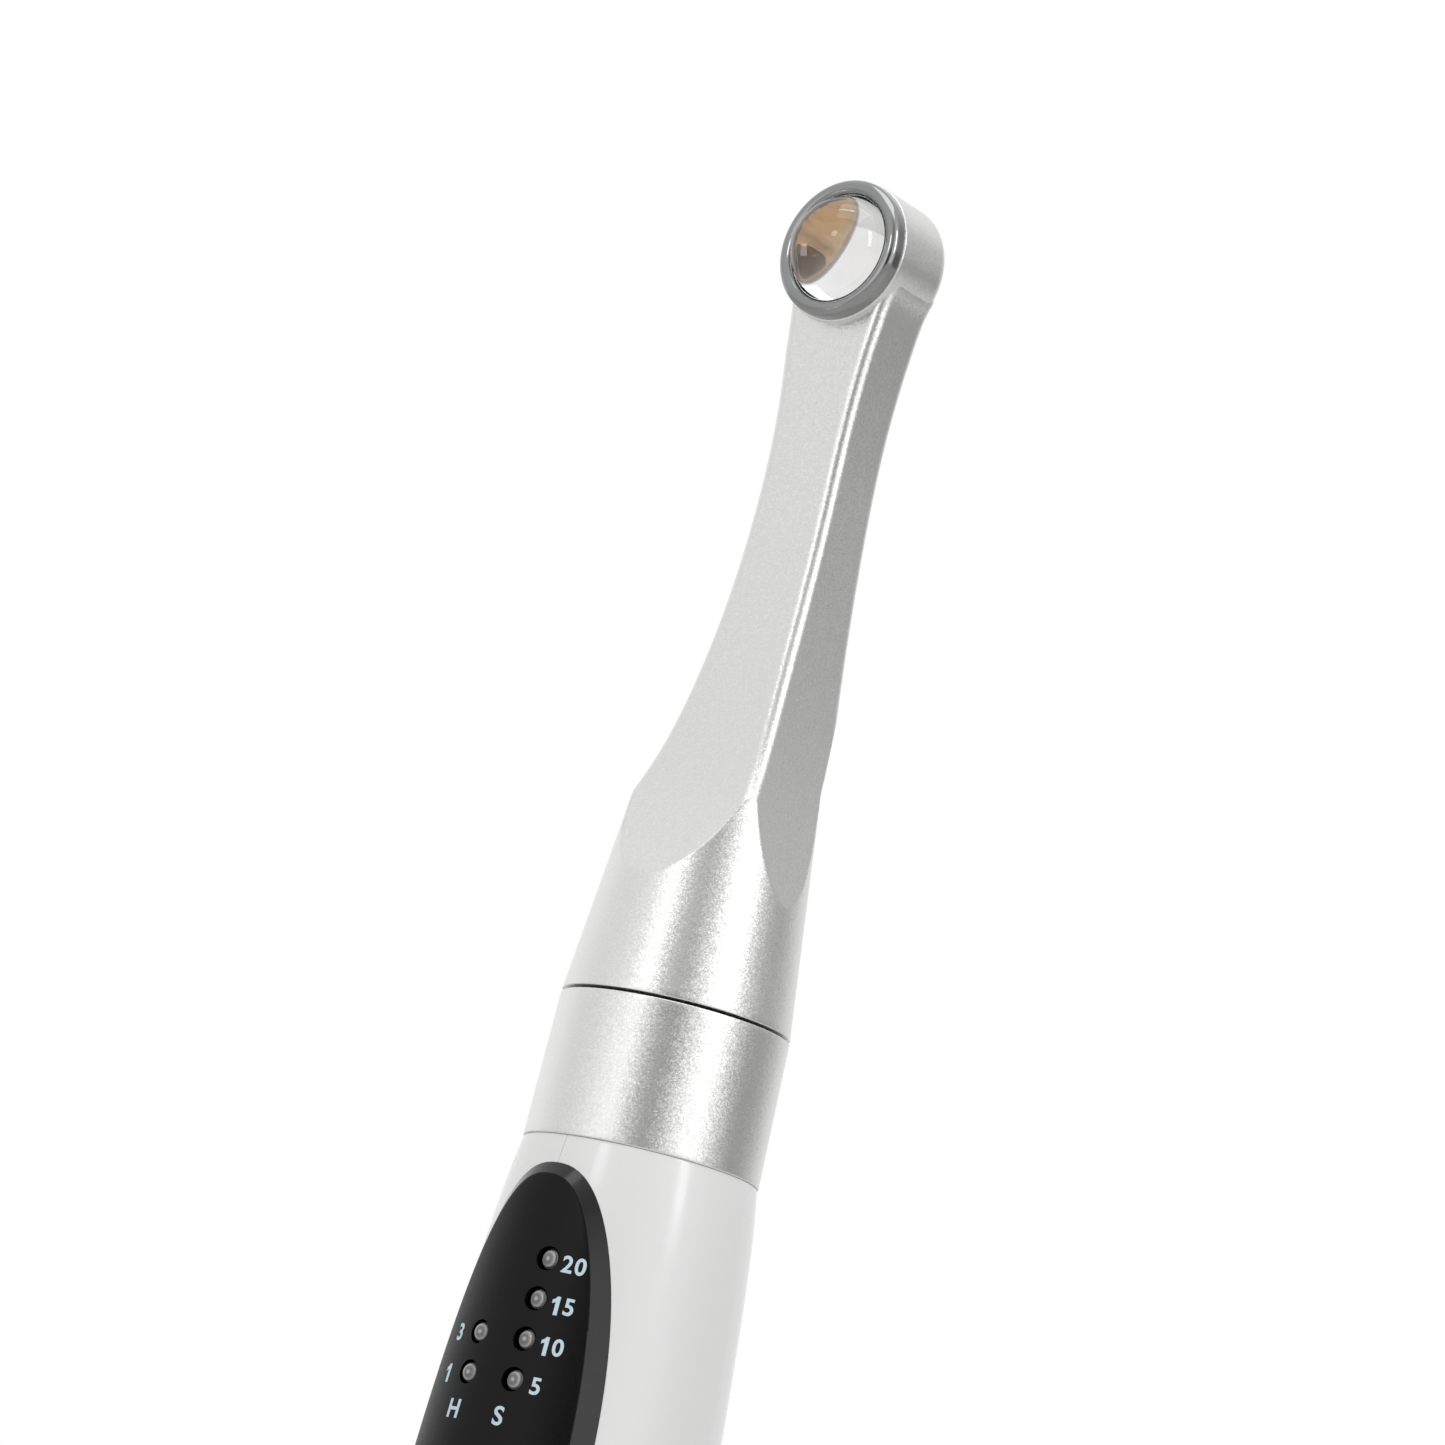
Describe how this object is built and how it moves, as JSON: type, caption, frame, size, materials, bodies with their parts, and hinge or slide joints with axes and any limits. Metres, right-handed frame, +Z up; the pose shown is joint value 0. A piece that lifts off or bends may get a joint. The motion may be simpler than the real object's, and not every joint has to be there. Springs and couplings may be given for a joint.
{
  "type": "dental curing light",
  "caption": "Cordless pen-type dental curing light with a swivelling metal head, domed lens, oval control panel with time indicators and keys, and a screw-off battery cap.",
  "frame": {"origin": "centre of the flat tail face the handpiece stands on", "axes": "+Z up the handle axis to the head; the lens and the control panel face -Y; +X is to the right when facing the panel"},
  "size_m": [0.027, 0.0281, 0.2598],
  "materials": {
    "blasted_aluminium": "satin",
    "polished_chrome": "polished",
    "black_rubber": "matte",
    "clear_lens": "clear",
    "clear_pipe": "clear",
    "mirror_aluminium": "polished",
    "white_ceramic": "matte",
    "gold_die": "glossy",
    "white_board": "matte",
    "copper": "satin",
    "wire_insulation": "satin",
    "steel": "satin",
    "spring_steel": "polished",
    "dark_polymer": "satin",
    "gold_contact": "polished",
    "white_abs": "glossy",
    "black_panel": "glossy",
    "grey_nylon": "matte",
    "green_board": "satin",
    "lamp_body": "satin",
    "switch_body": "satin",
    "chip_resin": "matte",
    "ferrite": "matte",
    "cell_wrap": "glossy",
    "key_rubber": "matte"
  },
  "bodies": {
    "handle": {"collar": "blasted_aluminium", "bearing_bush": "dark_polymer", "socket_block": "dark_polymer", "socket_contacts": "gold_contact", "lead_wires": "wire_insulation", "housing_left": "white_abs", "housing_right": "white_abs", "control_panel": "black_panel", "light_pipes": "clear_pipe", "inner_frame": "grey_nylon", "circuit_board": "green_board", "indicator_leds": "lamp_body", "tact_switches": "switch_body", "controller_chip": "chip_resin", "driver_inductor": "ferrite", "buzzer": "chip_resin", "board_screws": "steel", "battery_cell": "cell_wrap", "battery_sleeve": "grey_nylon", "positive_contact": "gold_contact", "ground_strip": "spring_steel", "tail_ring": "steel"},
    "head": {"head_shell": "blasted_aluminium", "lens_bezel": "polished_chrome", "lens_seal": "black_rubber", "lens": "clear_lens", "reflector_cup": "mirror_aluminium", "led_package": "white_ceramic", "led_dies": "gold_die", "led_board": "white_board", "heat_spreader": "copper", "led_wires": "wire_insulation", "pivot_sleeve": "steel", "pivot_oring": "black_rubber", "pivot_clip": "spring_steel", "plug_insulator": "dark_polymer", "plug_pin": "gold_contact"},
    "power_key": {"power_button": "key_rubber"},
    "mode_key": {"mode_button": "key_rubber"},
    "time_key": {"time_button": "key_rubber"},
    "cap_carriage": {"spring_plate": "spring_steel", "battery_spring": "spring_steel"},
    "cap": {"tail_cap": "blasted_aluminium", "cap_seal": "black_rubber", "charge_pin": "gold_contact", "charge_insulator": "dark_polymer"}
  },
  "joints": [
    {"name": "head_swivel", "type": "hinge", "parent": "handle", "child": "head", "pos_m": [0, 0, 0.1815], "axis": [0, 0, 1], "continuous": true},
    {"name": "power_press", "type": "slide", "parent": "handle", "child": "power_key", "axis": [0, 1, 0], "range_m": [0, 0.0006], "stiffness_N_per_m": 2500, "springref_m": -0.0002},
    {"name": "mode_press", "type": "slide", "parent": "handle", "child": "mode_key", "axis": [0, 1, 0], "range_m": [0, 0.0006], "stiffness_N_per_m": 2500, "springref_m": -0.0002},
    {"name": "time_press", "type": "slide", "parent": "handle", "child": "time_key", "axis": [0, 1, 0], "range_m": [0, 0.0006], "stiffness_N_per_m": 2500, "springref_m": -0.0002},
    {"name": "cap_travel", "type": "slide", "parent": "handle", "child": "cap_carriage", "axis": [0, 0, -1], "range_m": [0, 0.004]},
    {"name": "cap_turn", "type": "hinge", "parent": "cap_carriage", "child": "cap", "pos_m": [0, 0, 0], "axis": [0, 0, -1], "range_deg": [0, 1440.01]}
  ],
  "couplings": [
    {"joint": "cap_turn", "follows": "cap_travel", "rad_per_m": 6283.2}
  ]
}
